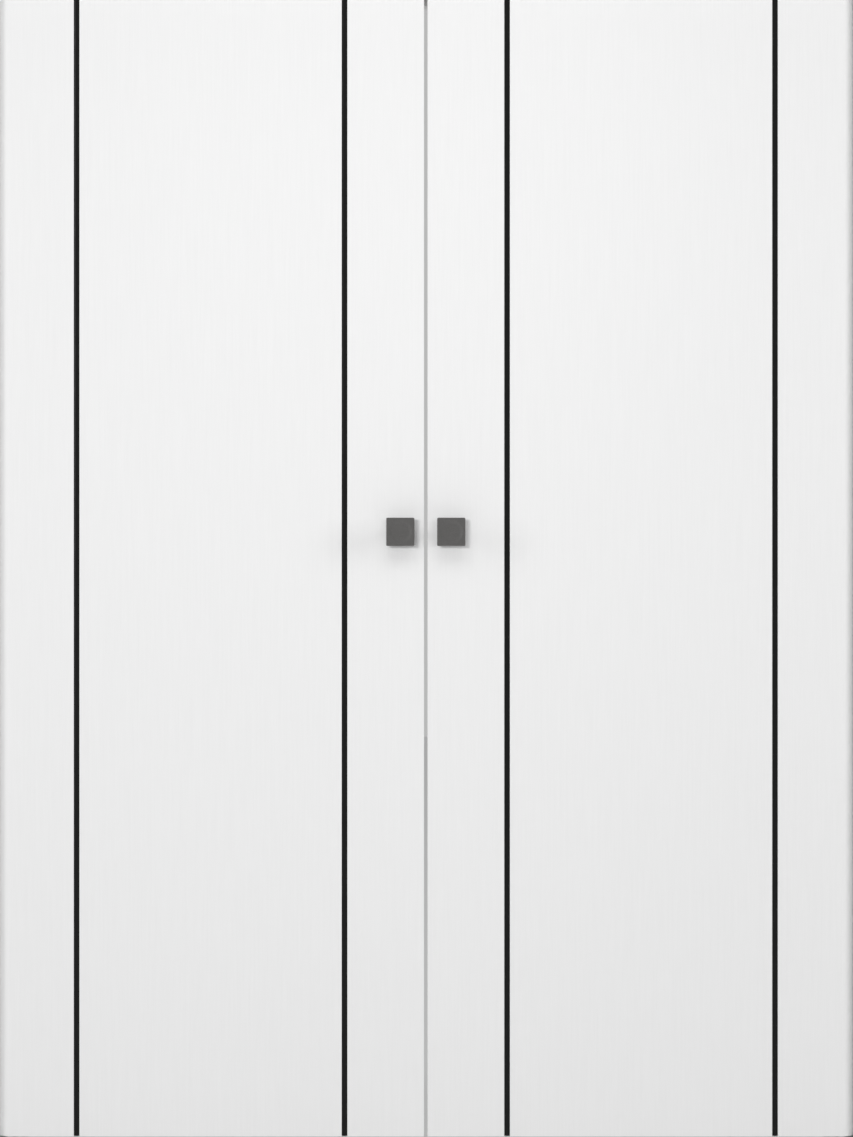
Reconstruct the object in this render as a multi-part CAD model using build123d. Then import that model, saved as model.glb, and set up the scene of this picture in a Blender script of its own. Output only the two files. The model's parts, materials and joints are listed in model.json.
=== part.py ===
from build123d import *
import math
import os

# A pair of white flush interior doors that meet in the middle of one doorway.
# Each leaf is hung on a pin in the floor and a pin in the head, has two black
# inlaid strips on each face and a square pull knob on each face.
# X runs across the doorway, Y from the front to the back, Z up from the floor.
# The origin is on the outer face of the left jamb, at floor level and mid-depth.
# All sizes are in millimetres.

# Leaves
leaf_width = 762.0
leaf_height = 2032.0
leaf_thickness = 40.0
skin_thickness = 6.0
heel_stile_width = 70.0
meeting_stile_width = 60.0
top_rail_height = 60.0
bottom_rail_height = 90.0
leaf_arris = 1.0

# Gaps round the leaves
meeting_gap = 6.0
heel_gap = 5.0
head_gap = 5.0
floor_gap = 10.0
stop_gap = 5.0

# Inlaid strips
strip_inset = 142.0
strip_width = 10.0
strip_side_height = 1.4
strip_crown_height = 3.6
groove_depth = 4.0
groove_ease = 0.5

# Pull knobs
knob_inset = 42.0
knob_height = 1078.0
knob_head_size = 50.0
knob_head_thickness = 12.0
knob_head_chamfer = 1.2
knob_projection = 50.0
dish_diameter = 44.0
dish_floor_diameter = 30.0
dish_depth = 1.5
rose_size = 46.0
rose_thickness = 6.0
rose_chamfer = 1.0
neck_end_size = 28.0
neck_waist_size = 18.0
neck_flare = 8.0
bolt_diameter = 8.0
bolt_engagement = 12.0
bolt_end_gap = 1.0
bolt_hole_clearance = 0.5

# Frame
jamb_thickness = 30.0
jamb_depth = 116.0
jamb_housing = 10.0
stop_thickness = 12.0
stop_depth = 30.0
frame_arris = 1.0
casing_width = 70.0
casing_thickness = 12.0
casing_reveal = 6.0
casing_arris = 1.5

# Pivots
pivot_plate_length = 48.0
pivot_plate_width = 22.0
pivot_plate_thickness = 3.0
pivot_plate_lead = 11.0
sleeve_diameter = 18.0
bottom_sleeve_length = 32.0
top_sleeve_length = 50.0
bottom_pin_diameter = 12.0
bottom_pin_reach = 26.0
top_pin_diameter = 10.0
top_pin_reach = 10.0
bearing_collar_diameter = 20.0
bearing_gap = 0.3
floor_plate_length = 56.0
floor_plate_width = 36.0
floor_plate_thickness = 4.0
socket_sleeve_diameter = 16.0
socket_sleeve_length = 15.0
pin_clearance = 0.05
seat_clearance = 0.1

# Roller catches and their strike plate
catch_inset = 40.0
catch_barrel_diameter = 14.0
catch_barrel_length = 32.0
catch_roller_diameter = 8.0
catch_roller_length = 7.0
catch_roller_rise = 3.5
strike_margin = 17.0
strike_width = 24.0
strike_thickness = 2.0
strike_hole_diameter = 9.0
strike_pocket_depth = 4.0

# Positions across the doorway
opening_width = 2 * (heel_gap + leaf_width) + meeting_gap
opening_height = floor_gap + leaf_height + head_gap
opening_left = jamb_thickness
opening_right = opening_left + opening_width
centre_x = opening_left + opening_width / 2
leaf_left = opening_left + heel_gap
leaf_right = leaf_left + leaf_width
heel_radius = leaf_thickness / 2
pivot_x = leaf_left + heel_radius
heel_stile_right = leaf_left + heel_stile_width
meeting_stile_left = leaf_right - meeting_stile_width
strip_centres = (leaf_left + strip_inset, leaf_right - strip_inset)
knob_x = leaf_right - knob_inset
catch_x = leaf_right - catch_inset

# Positions through the wall
jamb_front = -jamb_depth / 2
jamb_back = jamb_depth / 2
leaf_front = jamb_front
leaf_back = leaf_front + leaf_thickness
leaf_middle = (leaf_front + leaf_back) / 2
core_front = leaf_front + skin_thickness
core_back = leaf_back - skin_thickness
stop_front = leaf_back + stop_gap
stop_back = stop_front + stop_depth

# Heights
leaf_bottom = floor_gap
leaf_top = leaf_bottom + leaf_height
knob_z = leaf_bottom + knob_height
frame_top = opening_height + jamb_thickness
casing_foot_x = opening_left - casing_reveal
casing_foot_z = opening_height + casing_reveal

parts = {}


# Shapes used by several pieces

def block(x0, x1, y0, y1, z0, z1):
    """A box between two opposite corners."""
    middle = Pos((x0 + x1) / 2, (y0 + y1) / 2, (z0 + z1) / 2)
    return middle * Box(x1 - x0, y1 - y0, z1 - z0)


def upright(radius, x, y, z0, z1):
    """A vertical cylinder."""
    return Pos(x, y, (z0 + z1) / 2) * Cylinder(radius, z1 - z0)


def through_leaf(radius, x, z, y0, y1):
    """A cylinder that runs from the front towards the back."""
    return Pos(x, (y0 + y1) / 2, z) * Rot(X=90) * Cylinder(radius, y1 - y0)


def upright_section(section, z0, z1):
    """A plan section carried up from one height to another."""
    return Pos(0, 0, z0) * extrude(section, amount=z1 - z0, dir=(0, 0, 1))


def plate(x0, x1, width, z0, z1):
    """A flat plate that lies level in the middle of the leaf's thickness."""
    return block(x0, x1, leaf_middle - width / 2, leaf_middle + width / 2, z0, z1)


def eased_bar(x0, x1, y0, y1, z0, z1, arris, run):
    """A bar with its long edges eased, running along one axis."""
    bar = block(x0, x1, y0, y1, z0, z1)
    return chamfer(bar.edges().filter_by(run), arris)


def at_right(piece):
    """The same piece for the right leaf or jamb."""
    return mirror(piece, about=Plane.YZ.offset(centre_x))


def at_leaf_back(piece):
    """The same piece for the back face of the leaf."""
    return mirror(piece, about=Plane.XZ.offset(-leaf_middle))


# Frame

def side_jamb():
    """An upright jamb with a housing at the top for the head."""
    jamb = eased_bar(0, opening_left, jamb_front, jamb_back, 0, frame_top, frame_arris, Axis.Z)
    housing_left = opening_left - jamb_housing
    return jamb - block(housing_left, opening_left, jamb_front, jamb_back, opening_height, frame_top)


def head_jamb():
    """The head, housed in both jambs and cut for the pivot sockets and the strike."""
    left = opening_left - jamb_housing
    right = opening_right + jamb_housing
    head = block(left, right, jamb_front, jamb_back, opening_height, frame_top)
    for side in (lambda piece: piece, at_right):
        head -= side(head_socket_room())
    head -= strike_body(strike_margin + seat_clearance, strike_width + 2 * seat_clearance)
    for x in catch_positions():
        pocket_top = opening_height + strike_thickness + strike_pocket_depth
        head -= upright(strike_hole_diameter / 2, x, leaf_middle, opening_height, pocket_top)
    return head


def side_stop():
    """The upright stop behind the leaf, which runs up to the head stop."""
    inner = opening_left + stop_thickness
    top = opening_height - stop_thickness
    stop = block(opening_left, inner, stop_front, stop_back, 0, top)
    return chamfer(stop.edges().filter_by(Axis.Z).sort_by(Axis.X)[-2:], frame_arris)


def head_stop():
    """The level stop behind the tops of both leaves."""
    bottom = opening_height - stop_thickness
    stop = block(opening_left, opening_right, stop_front, stop_back, bottom, opening_height)
    return chamfer(stop.edges().filter_by(Axis.X).sort_by(Axis.Z)[:2], frame_arris)


def mitre_cutter():
    """What lies above and inside the mitre of the left upright casing."""
    reach = opening_width
    corner = (casing_foot_x, casing_foot_z)
    outer = (casing_foot_x - reach, casing_foot_z + reach)
    above = (casing_foot_x + reach, casing_foot_z + reach)
    inside = (casing_foot_x + reach, casing_foot_z)
    outline = Plane.XZ * Polygon(corner, outer, above, inside, align=None)
    return extrude(outline, amount=jamb_depth, both=True)


def side_casing():
    """The front left casing, mitred at its top."""
    outer = casing_foot_x - casing_width
    front = jamb_front - casing_thickness
    top = casing_foot_z + casing_width
    bar = eased_bar(outer, casing_foot_x, front, jamb_front, 0, top, casing_arris, Axis.Z)
    return bar - mitre_cutter()


def head_casing():
    """The front head casing, mitred at both ends."""
    outer_left = casing_foot_x - casing_width
    outer_right = 2 * centre_x - outer_left
    front = jamb_front - casing_thickness
    top = casing_foot_z + casing_width
    bar = eased_bar(outer_left, outer_right, front, jamb_front, casing_foot_z, top, casing_arris, Axis.X)
    reach = block(outer_left - 1, centre_x, front - 1, jamb_front + 1, casing_foot_z - 1, top + 1)
    waste = reach - mitre_cutter()
    return bar - waste - at_right(waste)


# Pivots, held on the line that each leaf turns about

def plate_span():
    """Where the pivot plates of the left leaf start and end."""
    start = pivot_x - pivot_plate_lead
    return start, start + pivot_plate_length


def pivot_plate(z0, z1, clearance):
    """A pivot plate of the left leaf, or with a clearance the room for it."""
    x0, x1 = plate_span()
    return plate(x0 - clearance, x1 + clearance, pivot_plate_width + 2 * clearance, z0, z1)


def bottom_pivot():
    """The socket in the foot of the leaf, which turns on the floor pin."""
    sleeve_top = leaf_bottom + bottom_sleeve_length
    socket = pivot_plate(leaf_bottom, leaf_bottom + pivot_plate_thickness, 0)
    socket += upright(sleeve_diameter / 2, pivot_x, leaf_middle, leaf_bottom, sleeve_top)
    bore = bottom_pin_diameter / 2 + pin_clearance
    return socket - upright(bore, pivot_x, leaf_middle, leaf_bottom, sleeve_top)


def floor_pivot():
    """The plate on the floor with the pin and the collar that carry the leaf."""
    x1 = opening_left + floor_plate_length
    foot = plate(opening_left, x1, floor_plate_width, 0, floor_plate_thickness)
    collar_top = leaf_bottom - bearing_gap
    foot += upright(bearing_collar_diameter / 2, pivot_x, leaf_middle, floor_plate_thickness, collar_top)
    pin_top = leaf_bottom + bottom_pin_reach
    return foot + upright(bottom_pin_diameter / 2, pivot_x, leaf_middle, collar_top, pin_top)


def top_pivot():
    """The sleeve in the head of the leaf with the pin that stands out of it."""
    sleeve_bottom = leaf_top - top_sleeve_length
    pin_top = opening_height + top_pin_reach
    pivot = pivot_plate(leaf_top - pivot_plate_thickness, leaf_top, 0)
    pivot += upright(sleeve_diameter / 2, pivot_x, leaf_middle, sleeve_bottom, leaf_top)
    return pivot + upright(top_pin_diameter / 2, pivot_x, leaf_middle, leaf_top, pin_top)


def head_socket():
    """The plate in the head with the sleeve that takes the top pin."""
    plate_top = opening_height + pivot_plate_thickness
    sleeve_top = opening_height + socket_sleeve_length
    socket = pivot_plate(opening_height, plate_top, 0)
    socket += upright(socket_sleeve_diameter / 2, pivot_x, leaf_middle, opening_height, sleeve_top)
    bore = top_pin_diameter / 2 + pin_clearance
    return socket - upright(bore, pivot_x, leaf_middle, opening_height, sleeve_top)


def head_socket_room():
    """The room cut in the head for a socket."""
    plate_top = opening_height + pivot_plate_thickness
    sleeve_top = opening_height + socket_sleeve_length
    radius = socket_sleeve_diameter / 2 + seat_clearance
    room = pivot_plate(opening_height, plate_top, seat_clearance)
    return room + upright(radius, pivot_x, leaf_middle, opening_height, sleeve_top)


# Catches

def catch_positions():
    """Where the two catches stand across the doorway."""
    return catch_x, 2 * centre_x - catch_x


def roller_catch():
    """A barrel let into the top of the meeting stile, with its roller proud of it."""
    barrel_bottom = leaf_top - catch_barrel_length
    roller_radius = catch_roller_diameter / 2
    roller_middle = leaf_top + catch_roller_rise - roller_radius
    catch = upright(catch_barrel_diameter / 2, catch_x, leaf_middle, barrel_bottom, leaf_top)
    roller = Rot(Y=90) * Cylinder(roller_radius, catch_roller_length)
    return catch + Pos(catch_x, leaf_middle, roller_middle) * roller


def strike_body(margin, width):
    """The outline of the strike plate, which serves both catches."""
    left, right = catch_positions()
    top = opening_height + strike_thickness
    return plate(left - margin, right + margin, width, opening_height, top)


def catch_strike():
    """One plate let into the head, with a hole for each roller."""
    strike = strike_body(strike_margin, strike_width)
    for x in catch_positions():
        hole_top = opening_height + strike_thickness
        strike -= upright(strike_hole_diameter / 2, x, leaf_middle, opening_height, hole_top)
    return strike


# Leaf

def bolt_hole():
    """The hole through the leaf for the bolt that joins the two knobs."""
    radius = bolt_diameter / 2 + bolt_hole_clearance
    return through_leaf(radius, knob_x, knob_z, leaf_front, leaf_back)


def heel_stile():
    """The stile with a round heel about the pivot line and a tongue between the skins."""
    heel = Pos(pivot_x, leaf_middle) * Circle(heel_radius)
    heel &= Pos(pivot_x - heel_radius / 2, leaf_middle) * Rectangle(heel_radius, 2 * heel_radius)
    stile = upright_section(heel, leaf_bottom, leaf_top)
    stile = chamfer(stile.edges().filter_by(GeomType.CIRCLE), leaf_arris)
    stile += block(pivot_x, heel_stile_right, core_front, core_back, leaf_bottom, leaf_top)
    plate_depth = pivot_plate_thickness
    stile -= pivot_plate(leaf_bottom, leaf_bottom + plate_depth, seat_clearance)
    stile -= pivot_plate(leaf_top - plate_depth, leaf_top, seat_clearance)
    radius = sleeve_diameter / 2 + seat_clearance
    stile -= upright(radius, pivot_x, leaf_middle, leaf_bottom, leaf_bottom + bottom_sleeve_length)
    return stile - upright(radius, pivot_x, leaf_middle, leaf_top - top_sleeve_length, leaf_top)


def meeting_stile():
    """The stile at the edge where the two leaves meet, bored for the catch and the knobs."""
    stile = block(meeting_stile_left, leaf_right, core_front, core_back, leaf_bottom, leaf_top)
    radius = catch_barrel_diameter / 2 + seat_clearance
    stile -= upright(radius, catch_x, leaf_middle, leaf_top - catch_barrel_length, leaf_top)
    return stile - bolt_hole()


def between_stiles(z0, z1):
    """A piece of the leaf's inside that fills the width between the stiles."""
    return block(heel_stile_right, meeting_stile_left, core_front, core_back, z0, z1)


def groove_section(x):
    """The plan section of a groove in the front face, with eased edges."""
    half = strip_width / 2
    floor_y = leaf_front + groove_depth
    left = [(x - half - groove_ease, leaf_front), (x - half, leaf_front + groove_ease), (x - half, floor_y)]
    right = [(x + half, floor_y), (x + half, leaf_front + groove_ease), (x + half + groove_ease, leaf_front)]
    return Polygon(*left, *right, align=None)


def front_skin():
    """The front face of the leaf, with its grooves and with its outer edges eased."""
    middle = Pos((pivot_x + leaf_right) / 2, (leaf_front + core_front) / 2)
    section = middle * Rectangle(leaf_right - pivot_x, skin_thickness)
    meeting_corner = section.vertices().group_by(Axis.X)[-1].sort_by(Axis.Y)[0]
    section = fillet(meeting_corner, leaf_arris)
    for x in strip_centres:
        section -= groove_section(x)
    skin = upright_section(section, leaf_bottom, leaf_top)
    return skin - skin_arris(leaf_bottom, 1) - skin_arris(leaf_top, -1) - bolt_hole()


def skin_arris(z, inward):
    """The sliver taken off the front face along its top or bottom edge."""
    corners = [(leaf_front, z), (leaf_front + leaf_arris, z), (leaf_front, z + inward * leaf_arris)]
    outline = Plane.YZ * Polygon(*corners, align=None)
    return Pos(leaf_left, 0, 0) * extrude(outline, amount=leaf_width, dir=(1, 0, 0))


def front_strips():
    """The two crowned black strips that lie in the grooves of the front face."""
    floor_y = leaf_front + groove_depth
    side_y = floor_y - strip_side_height
    crown_y = floor_y - strip_crown_height
    half = strip_width / 2
    strips = []
    for x in strip_centres:
        base = Polyline((x - half, side_y), (x - half, floor_y), (x + half, floor_y), (x + half, side_y))
        crown = ThreePointArc((x + half, side_y), (x, crown_y), (x - half, side_y))
        section = make_face(base.edges() + crown.edges())
        strips.append(upright_section(section, leaf_bottom + leaf_arris, leaf_top - leaf_arris))
    return strips


# Knobs, drawn with the leaf's face as their ground plane

def neck_flare_form():
    """The spread at one end of the neck, which tapers to the waist."""
    taper = math.degrees(math.atan2((neck_end_size - neck_waist_size) / 2, neck_flare))
    return extrude(Rectangle(neck_end_size, neck_end_size), amount=neck_flare, taper=taper)


def knob_form():
    """A square rose, a waisted square neck and a square head with a shallow dish."""
    head_bottom = knob_projection - knob_head_thickness
    rose = Pos(0, 0, rose_thickness / 2) * Box(rose_size, rose_size, rose_thickness)
    rose = chamfer(rose.faces().sort_by(Axis.Z)[-1].edges(), rose_chamfer)
    neck = Pos(0, 0, head_bottom / 2) * Box(neck_waist_size, neck_waist_size, head_bottom)
    neck += Pos(0, 0, rose_thickness) * neck_flare_form()
    neck += Pos(0, 0, head_bottom) * Rot(X=180) * neck_flare_form()
    head_middle = Pos(0, 0, head_bottom + knob_head_thickness / 2)
    head = head_middle * Box(knob_head_size, knob_head_size, knob_head_thickness)
    head = chamfer(head.edges(), knob_head_chamfer)
    dish = Cone(dish_floor_diameter / 2, dish_diameter / 2, dish_depth)
    return rose + neck + (head - Pos(0, 0, knob_projection - dish_depth / 2) * dish)


def front_knob():
    """The front knob, with the bolt that runs through the leaf into the back knob."""
    face = Plane(origin=(knob_x, leaf_front, knob_z), x_dir=(1, 0, 0), z_dir=(0, -1, 0))
    bolt_end = leaf_back + bolt_engagement - bolt_end_gap
    return face * knob_form() + through_leaf(bolt_diameter / 2, knob_x, knob_z, leaf_front, bolt_end)


def back_knob():
    """The back knob, bored for the end of the bolt."""
    face = Plane(origin=(knob_x, leaf_back, knob_z), x_dir=(-1, 0, 0), z_dir=(0, 1, 0))
    radius = bolt_diameter / 2 + pin_clearance
    return face * knob_form() - through_leaf(radius, knob_x, knob_z, leaf_back, leaf_back + bolt_engagement)


# Every node of the part

def put(name, solids):
    """Keep one named piece, or a few solids that share a name."""
    if isinstance(solids, list):
        solids = Compound(children=solids)
    parts[name] = solids


def put_pair(name, solid):
    """Keep a left piece and its right twin."""
    put("left_" + name, solid)
    put("right_" + name, at_right(solid))


put_pair("jamb", side_jamb())
put("head_jamb", head_jamb())
put_pair("stop", side_stop())
put("head_stop", head_stop())
put_pair("front_casing", side_casing())
put("head_front_casing", head_casing())
put_pair("back_casing", mirror(side_casing(), about=Plane.XZ))
put("head_back_casing", mirror(head_casing(), about=Plane.XZ))
put_pair("floor_pivot", floor_pivot())
put_pair("head_socket", head_socket())
put("catch_strike", catch_strike())

put_pair("leaf_heel_stile", heel_stile())
put_pair("leaf_meeting_stile", meeting_stile())
put_pair("leaf_top_rail", between_stiles(leaf_top - top_rail_height, leaf_top))
put_pair("leaf_bottom_rail", between_stiles(leaf_bottom, leaf_bottom + bottom_rail_height))
put_pair("leaf_core", between_stiles(leaf_bottom + bottom_rail_height, leaf_top - top_rail_height))
put_pair("leaf_front_skin", front_skin())
put_pair("leaf_back_skin", at_leaf_back(front_skin()))
put_pair("leaf_front_knob", front_knob())
put_pair("leaf_back_knob", back_knob())
put_pair("leaf_top_pivot", top_pivot())
put_pair("leaf_bottom_pivot", bottom_pivot())
put_pair("leaf_roller_catch", roller_catch())
put("left_leaf_front_strips", front_strips())
put("right_leaf_front_strips", [at_right(strip) for strip in front_strips()])
put("left_leaf_back_strips", [at_leaf_back(strip) for strip in front_strips()])
put("right_leaf_back_strips", [at_right(at_leaf_back(strip)) for strip in front_strips()])

os.makedirs("parts", exist_ok=True)
for name, piece in parts.items():
    export_step(piece, f"parts/{name}.step")
print(len(parts), "nodes written")
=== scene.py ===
import json
import math
import bmesh
import bpy
from mathutils import Matrix, Vector

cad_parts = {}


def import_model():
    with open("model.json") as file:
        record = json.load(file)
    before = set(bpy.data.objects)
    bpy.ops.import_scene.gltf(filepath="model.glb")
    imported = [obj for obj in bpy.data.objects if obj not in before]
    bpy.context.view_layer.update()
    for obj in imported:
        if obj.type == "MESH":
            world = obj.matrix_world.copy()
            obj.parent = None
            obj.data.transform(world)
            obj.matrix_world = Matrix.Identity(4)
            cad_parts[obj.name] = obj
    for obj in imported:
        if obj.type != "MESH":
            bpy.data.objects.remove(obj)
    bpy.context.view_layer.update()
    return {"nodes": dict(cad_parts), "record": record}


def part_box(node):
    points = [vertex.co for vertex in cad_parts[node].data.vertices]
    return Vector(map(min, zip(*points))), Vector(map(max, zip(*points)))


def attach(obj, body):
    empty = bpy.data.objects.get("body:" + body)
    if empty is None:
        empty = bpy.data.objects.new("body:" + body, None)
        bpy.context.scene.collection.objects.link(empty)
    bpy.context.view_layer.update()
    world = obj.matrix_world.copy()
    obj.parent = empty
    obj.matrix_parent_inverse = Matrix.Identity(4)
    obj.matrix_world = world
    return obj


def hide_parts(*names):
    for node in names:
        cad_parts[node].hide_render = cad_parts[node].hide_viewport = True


# A pair of white flush doors in a cased frame, shown square on, so near that the two
# closed leaves fill the picture. Metres, in the frame's own coordinates: X across the
# doorway, Y from the front to the back, Z up from the floor.

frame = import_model()
nodes = frame["nodes"]

# Places read from the frame
skin_low, skin_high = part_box("left_leaf_front_skin")
heel_low, heel_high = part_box("left_leaf_heel_stile")
strip_low, strip_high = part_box("left_leaf_front_strips")
knob_low, knob_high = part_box("left_leaf_front_knob")

LEAF_BOTTOM = skin_low.z
LEAF_TOP = skin_high.z
LEAF_FRONT = skin_low.y
LEAF_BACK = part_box("left_leaf_back_skin")[1].y
LEAF_MIDDLE = (LEAF_FRONT + LEAF_BACK) / 2
CORE_FRONT = skin_high.y
HEEL_LEFT = heel_low.x
HEEL_RIGHT = heel_high.x
PIVOT_X = skin_low.x
MEETING_EDGE = skin_high.x
CENTRE_X = (skin_high.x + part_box("right_leaf_front_skin")[0].x) / 2
KNOB_X = (knob_low.x + knob_high.x) / 2
KNOB_Z = (knob_low.z + knob_high.z) / 2
KNOB_FRONT = knob_low.y

# Sizes that the frame's boxes don't give
LEAF_ARRIS = 0.001
STRIP_WIDTH = 0.010
STRIP_SIDE = 0.0014
STRIP_CROWN = 0.0036
GROOVE_DEPTH = 0.004
GROOVE_EASE = 0.0005
KNOB_HEAD = 0.050
KNOB_HEAD_THICKNESS = 0.012
KNOB_ROSE = 0.046
KNOB_ROSE_THICKNESS = 0.006
KNOB_NECK_END = 0.014
KNOB_NECK_WAIST = 0.009
KNOB_NECK_FLARE = 0.008
KNOB_EDGE = 0.0012
FLOOR_PLATE_TOP = 0.004
SCREW_RADIUS = 0.0036
SCREW_RISE = 0.0002
SCREW_SPACE = 0.008
CROSS_HEIGHT = 0.0001
DISH_RADIUS = 0.022
DISH_FLOOR_RADIUS = 0.015
DISH_DEPTH = 0.0015

# Steps in the curves, and how square the knob's outline is, where 2 is a circle
ARC_STEPS = 24
RING_STEPS = 96
DISH_STEPS = 10
CIRCLE = 2
SQUARE = 40

# How near two places are when they count as the same one
SAME_PLACE = 2e-5

# The picture: its size, and where the gap and the leaves' foot fall in it
PICTURE_WIDTH = 853
PICTURE_HEIGHT = 1137
METRES_PER_PIXEL = 0.0017838
GAP_COLUMN = 425.8
FOOT_ROW = 1136.5
CAMERA_DISTANCE = 5.0
SENSOR = 36.0

# The light: the backdrop's grey, and the point on the leaves that most lamps look at
BACKDROP = 0.48
FACE_MIDDLE = (CENTRE_X, LEAF_FRONT, 1.1)


# Shader building

class Value:
    """A shader value that takes part in ordinary sums."""

    def __init__(self, paint, socket):
        self.paint = paint
        self.socket = socket

    def sum_node(self, operation, first, second):
        return self.paint.node("ShaderNodeMath", {"operation": operation}, {0: first, 1: second})

    def __add__(self, other):
        return self.sum_node("ADD", self, other)

    __radd__ = __add__

    def __mul__(self, other):
        return self.sum_node("MULTIPLY", self, other)

    def __gt__(self, other):
        return self.sum_node("GREATER_THAN", self, other)

    def __pow__(self, other):
        return self.sum_node("POWER", self, other)


class Paint:
    """One material, with the nodes that make it."""

    def __init__(self, name):
        self.material = bpy.data.materials.new(name)
        self.material.use_nodes = True
        self.tree = self.material.node_tree
        self.tree.nodes.clear()

    def node(self, kind, settings=None, inputs=None, output=0):
        made = self.tree.nodes.new(kind)
        for key, value in (settings or {}).items():
            setattr(made, key, value)
        for key, value in (inputs or {}).items():
            if isinstance(value, Value):
                self.tree.links.new(value.socket, made.inputs[key])
            else:
                made.inputs[key].default_value = value
        return Value(self, made.outputs[output]) if made.outputs else None

    def place(self, scale=(1, 1, 1), location=(0, 0, 0)):
        """Object coordinates, moved and stretched."""
        coordinates = self.node("ShaderNodeTexCoord", output="Object")
        moves = {"Scale": scale, "Location": location}
        return self.node("ShaderNodeMapping", {}, {0: coordinates, **moves})

    def noise(self, scale, detail=2.0, roughness=0.5):
        """Cloudy variation from 0 to 1, with its own scale along each axis."""
        sizes = {"Scale": 1.0, "Detail": detail, "Roughness": roughness}
        return self.node("ShaderNodeTexNoise", {}, {0: self.place(scale), **sizes})

    def blend(self, factor, first, second):
        """A colour between two colours."""
        colours = {6: first, 7: second}
        return self.node("ShaderNodeMix", {"data_type": "RGBA"}, {0: factor, **colours}, output=2)

    def bump(self, height, strength, distance):
        sizes = {"Strength": strength, "Distance": distance}
        return self.node("ShaderNodeBump", {}, {"Height": height, **sizes})

    def along(self, axis):
        """How squarely a face looks along an axis, from 0 to 1."""
        normal = self.node("ShaderNodeTexCoord", output="Normal")
        parts = self.node("ShaderNodeSeparateXYZ", {}, {0: normal}, output=axis)
        return self.node("ShaderNodeMath", {"operation": "ABSOLUTE"}, {0: parts})

    def surface(self, **sockets):
        """The finished surface, from the sockets of the main shader by name."""
        named = {key.replace("_", " "): value for key, value in sockets.items()}
        shader = self.node("ShaderNodeBsdfPrincipled", {}, named)
        self.node("ShaderNodeOutputMaterial", {}, {0: shader})
        return self.material


def grey(level):
    return (level, level, level, 1.0)


def bare_wood(paint):
    """The colour of planed softwood with its grain along X, and the fine part of that grain."""
    scale = (5.0, 90.0, 90.0)
    bands = paint.noise(scale, detail=3.0, roughness=0.6)
    fine = paint.noise([part * 6 for part in scale], detail=2.0)
    figure = bands * 0.75 + fine * 0.25
    return paint.blend(figure, (0.46, 0.30, 0.16, 1), (0.80, 0.64, 0.43, 1)), fine


def leaf_film():
    """White satin film with a fine upright grain, and bare board where the leaf is cut across."""
    paint = Paint("leaf_film")
    streaks = paint.noise((260, 260, 6), detail=3.0, roughness=0.55)
    threads = paint.noise((1400, 1400, 22), detail=1.0)
    clouds = paint.noise((3.0, 3.0, 1.2), detail=1.0)
    grain = streaks * 0.6 + threads * 0.4
    film = paint.blend(grain, (0.815, 0.815, 0.815, 1), (0.885, 0.885, 0.885, 1))
    board, _ = bare_wood(paint)
    cut = paint.along("Z") > 0.9
    return paint.surface(
        Base_Color=paint.blend(cut, film, board),
        Roughness=0.44 + grain * 0.08 + clouds * 0.04 + cut * 0.3,
        Normal=paint.bump(grain, 0.10, 0.0002),
        Specular_IOR_Level=0.4,
    )


def frame_paint():
    """White satin paint, laid on with a roller."""
    paint = Paint("frame_paint")
    stipple = paint.noise((700, 700, 700), detail=2.0)
    clouds = paint.noise((4, 4, 2), detail=1.0)
    return paint.surface(
        Base_Color=paint.blend(clouds, (0.82, 0.82, 0.815, 1), (0.86, 0.86, 0.855, 1)),
        Roughness=0.40 + stipple * 0.12,
        Normal=paint.bump(stipple, 0.12, 0.0002),
    )


def rail_wood():
    """Planed softwood."""
    paint = Paint("rail_wood")
    colour, fine = bare_wood(paint)
    return paint.surface(
        Base_Color=colour,
        Roughness=0.68 + fine * 0.2,
        Normal=paint.bump(fine, 0.25, 0.0004),
    )


def core_board():
    """Pressed chips."""
    paint = Paint("core_board")
    place = paint.place((260, 700, 260))
    chips = paint.node("ShaderNodeTexVoronoi", {}, {0: place, "Scale": 1.0}, output="Color")
    shade = paint.node("ShaderNodeSeparateXYZ", {}, {0: chips})
    colour = paint.blend(shade, (0.42, 0.29, 0.17, 1), (0.74, 0.58, 0.38, 1))
    return paint.surface(
        Base_Color=colour,
        Roughness=0.8 + shade * 0.1,
        Normal=paint.bump(shade, 0.3, 0.0005),
    )


def black_strip():
    """Satin black strip with a trace of drawn lines along it."""
    paint = Paint("black_strip")
    lines = paint.noise((2200, 2200, 12), detail=1.0)
    return paint.surface(
        Base_Color=paint.blend(lines, grey(0.004), grey(0.006)),
        Roughness=0.26 + lines * 0.08,
        Specular_IOR_Level=0.24,
        Normal=paint.bump(lines, 0.06, 0.0001),
    )


def knob_metal(name, centre):
    """Dark grey metal, turned in fine rings about the middle of the knob."""
    paint = Paint(name)
    offset = paint.place((1, 1, 1), [-part for part in centre])
    across = paint.node("ShaderNodeSeparateXYZ", {}, {0: offset}, output="X")
    upward = paint.node("ShaderNodeSeparateXYZ", {}, {0: offset}, output="Z")
    radius = (across * across + upward * upward) ** 0.5
    turned = {"W": radius * 2600, "Scale": 1.0, "Detail": 2.0}
    rings = paint.node("ShaderNodeTexNoise", {"noise_dimensions": "1D"}, turned)
    mottle = paint.noise((420, 420, 420), detail=2.0)
    wear = paint.noise((90, 90, 90), detail=2.0)
    tone = rings * 0.5 + mottle * 0.5
    return paint.surface(
        Base_Color=paint.blend(tone, (0.15, 0.147, 0.143, 1), (0.256, 0.252, 0.246, 1)),
        Metallic=0.85,
        Roughness=0.36 + rings * 0.10 + wear * 0.06,
        Normal=paint.bump(tone, 0.18, 0.0002),
    )


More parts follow.
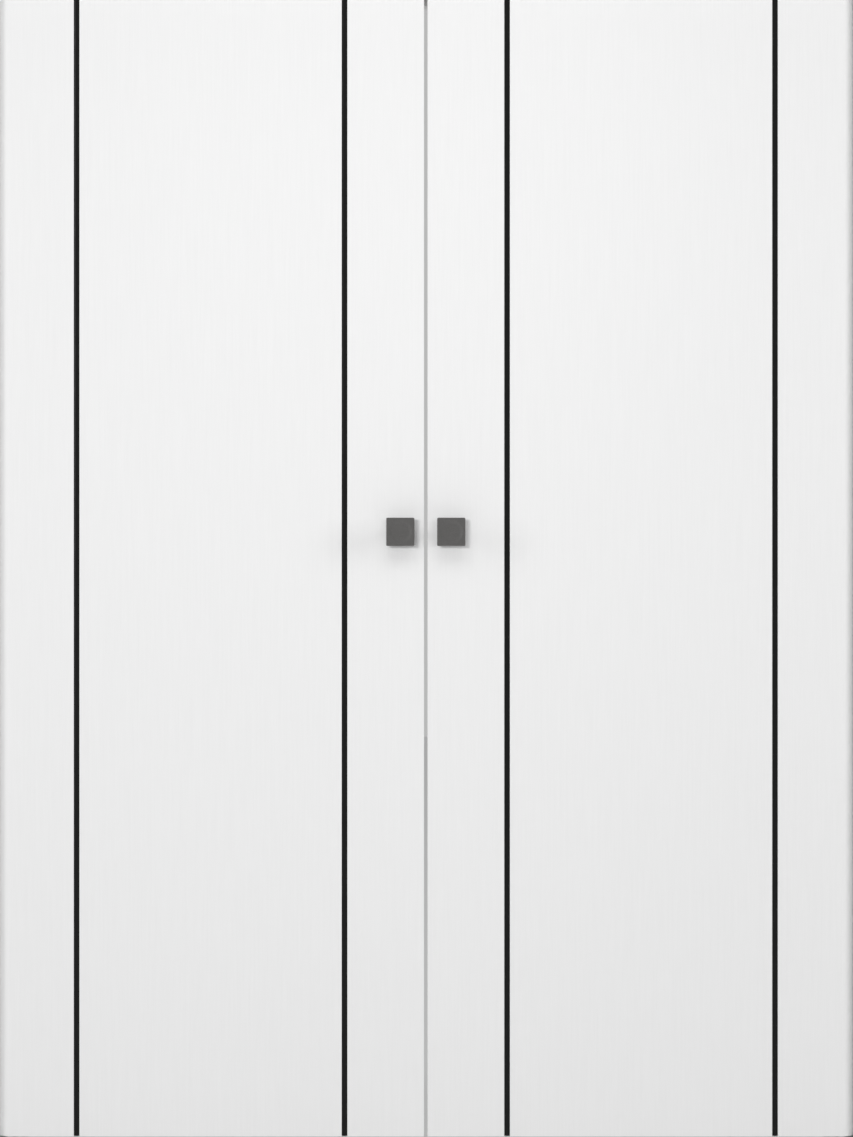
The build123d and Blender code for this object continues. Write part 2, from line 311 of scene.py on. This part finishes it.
def pivot_steel():
    """Brushed steel."""
    paint = Paint("pivot_steel")
    brushed = paint.noise((160, 2600, 2600), detail=2.0)
    clouds = paint.noise((60, 60, 60), detail=1.0)
    return paint.surface(
        Base_Color=paint.blend(clouds, (0.50, 0.50, 0.49, 1), (0.64, 0.64, 0.63, 1)),
        Metallic=1.0,
        Roughness=0.26 + brushed * 0.18,
        Normal=paint.bump(brushed, 0.15, 0.0001),
    )


def flat_paint(name, colour, roughness):
    paint = Paint(name)
    return paint.surface(Base_Color=colour, Roughness=roughness)


def driven_screw():
    """The darker zinc of the screws."""
    paint = Paint("screw_zinc")
    spots = paint.noise((900, 900, 900), detail=1.0)
    return paint.surface(
        Base_Color=paint.blend(spots, grey(0.34), grey(0.48)),
        Metallic=1.0,
        Roughness=0.34 + spots * 0.14,
    )


# Mesh building

def prism(outline, low, high):
    """An upright solid over a plan outline."""
    bm = bmesh.new()
    corners = [bm.verts.new((x, y, low)) for x, y in outline]
    ground = bm.faces.new(corners)
    raised = bmesh.ops.extrude_face_region(bm, geom=[ground])
    moved = [part for part in raised["geom"] if isinstance(part, bmesh.types.BMVert)]
    bmesh.ops.translate(bm, verts=moved, vec=(0, 0, high - low))
    return bm


def round_over(bm, edges, offset, segments):
    bmesh.ops.bevel(
        bm, geom=edges, offset=offset, affect="EDGES", segments=segments, profile=0.5,
        material=-1, offset_type="OFFSET", clamp_overlap=True,
    )


def edges_where(bm, test):
    """The edges of which both ends pass a test on their place."""
    return [edge for edge in bm.edges if all(test(vert.co) for vert in edge.verts)]


def is_upright(edge):
    a, b = (vert.co for vert in edge.verts)
    return near(a.x, b.x) and near(a.y, b.y)


def near(a, b):
    return abs(a - b) < SAME_PLACE


AT_RIGHT = Matrix.Translation((2 * CENTRE_X, 0, 0)) @ Matrix.Diagonal((-1, 1, 1, 1))
AT_BACK = Matrix.Translation((0, 2 * LEAF_MIDDLE, 0)) @ Matrix.Diagonal((1, -1, 1, 1))


def finish_piece(name, bm, paint, body, replaced=(), moves=()):
    """Turns a bmesh into a piece that rides on a body and may stand for CAD nodes."""
    for move in moves:
        bmesh.ops.transform(bm, matrix=move, verts=bm.verts)
    bmesh.ops.recalc_face_normals(bm, faces=bm.faces)
    mesh = bpy.data.meshes.new(name)
    bm.to_mesh(mesh)
    bm.free()
    mesh.materials.append(paint)
    mesh.polygons.foreach_set("use_smooth", [True] * len(mesh.polygons))
    mesh.set_sharp_from_angle(angle=math.radians(35))
    made = bpy.data.objects.new(name, mesh)
    bpy.context.scene.collection.objects.link(made)
    even = made.modifiers.new("even_normals", "WEIGHTED_NORMAL")
    even.keep_sharp = True
    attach(made, body)
    if replaced:
        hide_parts(*replaced)
    return made


# Leaves

def strip_places():
    """The middles of the two strips of the left leaf."""
    half = STRIP_WIDTH / 2
    return strip_low.x + half, strip_high.x - half


def skin_form():
    """The front skin of the left leaf, with two grooves and eased edges."""
    half = STRIP_WIDTH / 2
    floor = LEAF_FRONT + GROOVE_DEPTH
    outline = [(PIVOT_X, CORE_FRONT), (PIVOT_X, LEAF_FRONT)]
    for x in strip_places():
        outline += [(x - half, LEAF_FRONT), (x - half, floor)]
        outline += [(x + half, floor), (x + half, LEAF_FRONT)]
    outline += [(MEETING_EDGE, LEAF_FRONT), (MEETING_EDGE, CORE_FRONT)]
    bm = prism(outline, LEAF_BOTTOM, LEAF_TOP)
    mouths = [edge for edge in edges_where(bm, lambda p: near(p.y, LEAF_FRONT)) if is_upright(edge)]
    ends = (PIVOT_X, MEETING_EDGE)
    inner = [edge for edge in mouths if not any(near(edge.verts[0].co.x, x) for x in ends)]
    outer = [edge for edge in mouths if near(edge.verts[0].co.x, MEETING_EDGE)]
    round_over(bm, inner, GROOVE_EASE, 4)
    outer = [edge for edge in outer if edge.is_valid]
    round_over(bm, outer, LEAF_ARRIS, 3)
    for height in (LEAF_BOTTOM, LEAF_TOP):
        rim = edges_where(bm, lambda p: near(p.y, LEAF_FRONT) and near(p.z, height))
        round_over(bm, rim, LEAF_ARRIS, 3)
    return bm


def heel_form():
    """The heel stile: round about the pivot line, with a tongue between the skins."""
    radius = PIVOT_X - HEEL_LEFT
    outline = []
    for step in range(ARC_STEPS + 1):
        turn = math.pi * (0.5 + step / ARC_STEPS)
        outline.append((PIVOT_X + radius * math.cos(turn), LEAF_MIDDLE + radius * math.sin(turn)))
    half = LEAF_MIDDLE - CORE_FRONT
    tongue = ((PIVOT_X, -half), (HEEL_RIGHT, -half), (HEEL_RIGHT, half), (PIVOT_X, half))
    outline += [(x, LEAF_MIDDLE + y) for x, y in tongue]
    bm = prism(outline, LEAF_BOTTOM, LEAF_TOP)
    for height in (LEAF_BOTTOM, LEAF_TOP):
        rim = edges_where(bm, lambda p: near(p.z, height) and p.x < PIVOT_X + 1e-5)
        rim = [edge for edge in rim if not all(near(vert.co.x, PIVOT_X) for vert in edge.verts)]
        round_over(bm, rim, LEAF_ARRIS, 3)
    return bm


def strip_form(x):
    """One crowned strip, lying in its groove."""
    half = STRIP_WIDTH / 2
    floor = LEAF_FRONT + GROOVE_DEPTH
    rise = STRIP_CROWN - STRIP_SIDE
    outline = [(x + half, floor), (x - half, floor)]
    for step in range(ARC_STEPS + 1):
        across = -1 + 2 * step / ARC_STEPS
        outline.append((x + half * across, floor - STRIP_SIDE - rise * (1 - across * across)))
    return prism(outline, LEAF_BOTTOM + LEAF_ARRIS, LEAF_TOP - LEAF_ARRIS)


def joined(forms):
    """Several bmeshes as one."""
    whole = bmesh.new()
    for form in forms:
        mesh = bpy.data.meshes.new("part")
        form.to_mesh(mesh)
        form.free()
        whole.from_mesh(mesh)
        bpy.data.meshes.remove(mesh)
    return whole


# Knobs

def ring(bm, half, height, squareness):
    """A ring of points: a circle at 2, and ever nearer to a square above that."""
    points = []
    for step in range(RING_STEPS):
        turn = 2 * math.pi * step / RING_STEPS
        across, upward = math.cos(turn), math.sin(turn)
        reach = (abs(across) ** squareness + abs(upward) ** squareness) ** (1 / squareness)
        points.append(bm.verts.new((across * half / reach, upward * half / reach, height)))
    return points


def stacked(stages):
    """A closed solid through a stack of rings, each given as half width, height and squareness."""
    bm = bmesh.new()
    rings = [ring(bm, *stage) for stage in stages]
    for lower, upper in zip(rings, rings[1:]):
        for here in range(RING_STEPS):
            after = (here + 1) % RING_STEPS
            bm.faces.new((lower[here], lower[after], upper[after], upper[here]))
    bm.faces.new(rings[0][::-1])
    bm.faces.new(rings[-1])
    return bm


def rounded_slab(half, low, high, edge, steps=4):
    """The rings of a square slab whose front and back edges are rounded."""
    turns = [math.pi / 2 * step / steps for step in range(steps + 1)]
    stages = []
    for turn in turns:
        inset, lift = edge * (1 - math.sin(turn)), edge * (1 - math.cos(turn))
        stages.append((half - inset, low + lift, SQUARE))
    for turn in turns:
        inset, drop = edge * (1 - math.cos(turn)), edge * (1 - math.sin(turn))
        stages.append((half - inset, high - drop, SQUARE))
    return stages


def knob_form():
    """The knob with the leaf's face as its ground plane: rose, neck and dished head."""
    top = LEAF_FRONT - KNOB_FRONT
    head_low = top - KNOB_HEAD_THICKNESS
    rose = stacked(rounded_slab(KNOB_ROSE / 2, 0.0, KNOB_ROSE_THICKNESS, KNOB_EDGE))
    neck = stacked([
        (KNOB_NECK_END, KNOB_ROSE_THICKNESS, SQUARE),
        (KNOB_NECK_WAIST, KNOB_ROSE_THICKNESS + KNOB_NECK_FLARE, SQUARE),
        (KNOB_NECK_WAIST, head_low - KNOB_NECK_FLARE, SQUARE),
        (KNOB_NECK_END, head_low, SQUARE),
    ])
    stages = rounded_slab(KNOB_HEAD / 2, head_low, top, KNOB_EDGE)
    for step in range(DISH_STEPS + 1):
        share = step / DISH_STEPS
        half = DISH_RADIUS + (DISH_FLOOR_RADIUS - DISH_RADIUS) * share
        stages.append((half, top - DISH_DEPTH * (1 - math.cos(math.pi * share)) / 2, CIRCLE))
    whole = joined([rose, neck, stacked(stages)])
    stand = Matrix.Translation((KNOB_X, LEAF_FRONT, KNOB_Z)) @ Matrix.Rotation(math.pi / 2, 4, "X")
    bmesh.ops.transform(whole, matrix=stand, verts=whole.verts)
    return whole


# Screws

def screw_heads(places, up):
    """Countersunk screw heads in a level plate, each with a dark cross let into it: a thin flat
    sheet of painted shade that stands for the recess of the cross.
    """
    bm = bmesh.new()
    for place in places:
        stand = Matrix.Translation(place)
        if not up:
            stand = stand @ Matrix.Rotation(math.pi, 4, "X")
        bmesh.ops.create_cone(
            bm, cap_ends=True, segments=32, radius1=SCREW_RADIUS, radius2=0.88 * SCREW_RADIUS,
            depth=2 * SCREW_RISE, matrix=stand,
        )
        arm = SCREW_RADIUS * 1.1
        slot = SCREW_RADIUS * 0.22
        on_top = stand @ Matrix.Translation((0, 0, SCREW_RISE))
        # The cross is two thin near-black bars, painted shade where the cross recess would lie in
        # shade.
        for across, upward in ((arm, slot), (slot, arm)):
            bar = on_top @ Matrix.Diagonal((across, upward, CROSS_HEIGHT, 1))
            made = bmesh.ops.create_cube(bm, size=1.0, matrix=bar)
            for face in {face for vert in made["verts"] for face in vert.link_faces}:
                face.material_index = 1
    return bm


def plate_screws(name, body, level, up, columns):
    """The screws of the left and the right plate of one kind, in line with the leaf's middle."""
    for side, across in (("left", ()), ("right", (AT_RIGHT,))):
        heads = screw_heads([(x, LEAF_MIDDLE, level) for x in columns], up)
        rides_on = body.format(side=side)
        piece = f"{side}_{name}_screws"
        made = finish_piece(piece, heads, zinc, rides_on, (), across)
        # The second paint is the painted shade of the cross recesses.
        made.data.materials.append(recess_shade)


# Put everything in place

film = leaf_film()
strip_black = black_strip()
steel = pivot_steel()
zinc = driven_screw()
# Near-black paint for the screws' crosses: painted shade that stands for the recess.
recess_shade = flat_paint("screw_recess_shade", grey(0.03), 0.6)

paints = {
    "leaf_film": film,
    "frame_paint": frame_paint(),
    "rail_wood": rail_wood(),
    "core_board": core_board(),
    "black_strip": strip_black,
    "pivot_steel": steel,
    "knob_metal": steel,
}
slot_of = {row["node"]: row["material_slot"] for row in frame["record"]["subparts"]}
for name, node in nodes.items():
    node.data.materials.clear()
    node.data.materials.append(paints[slot_of[name]])

for side, across in (("left", ()), ("right", (AT_RIGHT,))):
    body = f"{side}_leaf"
    heel = heel_form()
    finish_piece(f"{body}_heel", heel, film, body, [f"{body}_heel_stile"], across)
    for face, through in (("front", ()), ("back", (AT_BACK,))):
        moves = across + through
        place = f"{body}_{face}"
        skin = skin_form()
        finish_piece(f"{place}_facing", skin, film, body, [f"{place}_skin"], moves)
        strips = joined([strip_form(x) for x in strip_places()])
        replaced = [f"{place}_strips"]
        finish_piece(f"{place}_inlays", strips, strip_black, body, replaced, moves)
        centre = Vector((KNOB_X, LEAF_MIDDLE, KNOB_Z))
        for move in moves:
            centre = move @ centre
        knob = knob_form()
        metal = knob_metal(f"{place}_knob_metal", centre)
        finish_piece(f"{place}_pull", knob, metal, body, [f"{place}_knob"], moves)

plate_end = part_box("left_leaf_top_pivot")[1].x
plate_columns = (plate_end - 2.5 * SCREW_SPACE, plate_end - SCREW_SPACE)
plate_screws("leaf_top_pivot", "{side}_leaf", LEAF_TOP, True, plate_columns)
plate_screws("leaf_bottom_pivot", "{side}_leaf", LEAF_BOTTOM, False, plate_columns)
socket_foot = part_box("left_head_socket")[0].z
plate_screws("head_socket", "frame", socket_foot, False, plate_columns)
floor_low, floor_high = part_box("left_floor_pivot")
floor_columns = (floor_low.x + SCREW_SPACE, floor_high.x - SCREW_SPACE)
plate_screws("floor_pivot", "frame", FLOOR_PLATE_TOP, True, floor_columns)
strike_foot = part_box("catch_strike")[0].z
plate_screws("strike", "frame", strike_foot, False, (CENTRE_X - 2 * SCREW_SPACE,))


# Floor, light and camera

def seen_itself(tree):
    """A factor of 1 for what the camera, metal or glass shows, and 0 for the light it gives."""
    path = tree.nodes.new("ShaderNodeLightPath")
    factor = path.outputs["Is Camera Ray"]
    for kind in ("Is Glossy Ray", "Is Transmission Ray"):
        either = tree.nodes.new("ShaderNodeMath")
        either.operation = "MAXIMUM"
        tree.links.new(factor, either.inputs[0])
        tree.links.new(path.outputs[kind], either.inputs[1])
        factor = either.outputs[0]
    return factor


def floor(seen, share):
    """A pale floor that shows partly as the backdrop's grey, so that its shadows stay soft."""
    mesh = bpy.data.meshes.new("floor")
    bm = bmesh.new()
    bmesh.ops.create_grid(bm, x_segments=1, y_segments=1, size=12.0)
    bm.to_mesh(mesh)
    bm.free()
    paint = flat_paint("floor_grey", grey(0.78), 0.7)
    tree = paint.node_tree
    output = next(node for node in tree.nodes if node.bl_idname == "ShaderNodeOutputMaterial")
    surface = output.inputs["Surface"]
    lit = surface.links[0].from_socket
    even = tree.nodes.new("ShaderNodeEmission")
    even.inputs["Color"].default_value = grey(seen)
    part = tree.nodes.new("ShaderNodeMath")
    part.operation = "MULTIPLY"
    tree.links.new(seen_itself(tree), part.inputs[0])
    part.inputs[1].default_value = share
    mix = tree.nodes.new("ShaderNodeMixShader")
    tree.links.new(part.outputs[0], mix.inputs[0])
    tree.links.new(lit, mix.inputs[1])
    tree.links.new(even.outputs[0], mix.inputs[2])
    tree.links.new(mix.outputs[0], surface)
    mesh.materials.append(paint)
    made = bpy.data.objects.new("floor", mesh)
    bpy.context.scene.collection.objects.link(made)


def softbox(name, place, size, energy, target=FACE_MIDDLE, mirrored=False):
    """An unseen rectangular lamp that looks at a point, and shows in metal only if mirrored."""
    data = bpy.data.lights.new(name, "AREA")
    data.shape = "RECTANGLE"
    data.size, data.size_y = size
    data.energy = energy
    lamp = bpy.data.objects.new(name, data)
    lamp.location = place
    lamp.rotation_euler = (Vector(target) - Vector(place)).to_track_quat("-Z", "Y").to_euler()
    lamp.visible_camera = False
    lamp.visible_glossy = mirrored
    bpy.context.scene.collection.objects.link(lamp)


def world(ambient, seen):
    """Even light from all round, and a plain grey behind everything."""
    made = bpy.data.worlds.new("studio")
    bpy.context.scene.world = made
    made.use_nodes = True
    tree = made.node_tree
    tree.nodes.clear()
    light = tree.nodes.new("ShaderNodeBackground")
    light.inputs["Color"].default_value = grey(1.0)
    light.inputs["Strength"].default_value = ambient
    view = tree.nodes.new("ShaderNodeBackground")
    view.inputs["Color"].default_value = grey(seen)
    view.inputs["Strength"].default_value = 1.0
    mix = tree.nodes.new("ShaderNodeMixShader")
    tree.links.new(seen_itself(tree), mix.inputs[0])
    tree.links.new(light.outputs[0], mix.inputs[1])
    tree.links.new(view.outputs[0], mix.inputs[2])
    output = tree.nodes.new("ShaderNodeOutputWorld")
    tree.links.new(mix.outputs[0], output.inputs[0])


def camera():
    """A camera square on to the leaves, so that they fill the picture."""
    data = bpy.data.cameras.new("camera")
    data.sensor_fit = "AUTO"
    data.sensor_width = SENSOR
    data.lens = SENSOR * CAMERA_DISTANCE / (PICTURE_HEIGHT * METRES_PER_PIXEL)
    made = bpy.data.objects.new("camera", data)
    x = CENTRE_X + (PICTURE_WIDTH / 2 - GAP_COLUMN) * METRES_PER_PIXEL
    z = LEAF_BOTTOM + (FOOT_ROW - PICTURE_HEIGHT / 2) * METRES_PER_PIXEL
    made.location = (x, LEAF_FRONT - CAMERA_DISTANCE, z)
    made.rotation_euler = (math.pi / 2, 0, 0)
    bpy.context.scene.collection.objects.link(made)
    bpy.context.scene.camera = made


floor(BACKDROP, 0.6)
world(0.288, BACKDROP)
softbox("key", (0.15, -4.4, 1.36), (0.6, 0.25), 61)
top_middle = (CENTRE_X, LEAF_FRONT, 1.7)
softbox("top_fill", (CENTRE_X, -1.7, 2.2), (1.2, 0.8), 6.0, target=top_middle)
softbox("left_panel", (-4.65, -2.5, 2.3), (0.9, 3.0), 73, mirrored=True)
softbox("right_panel", (6.05, -2.5, 2.3), (1.3, 2.4), 91)
softbox("back_left_panel", (-4.6, 3.0, 2.3), (1.2, 2.4), 88)
softbox("back_right_panel", (6.2, 3.0, 2.3), (1.2, 2.4), 88)
camera()
bpy.context.scene.view_settings.view_transform = "Standard"
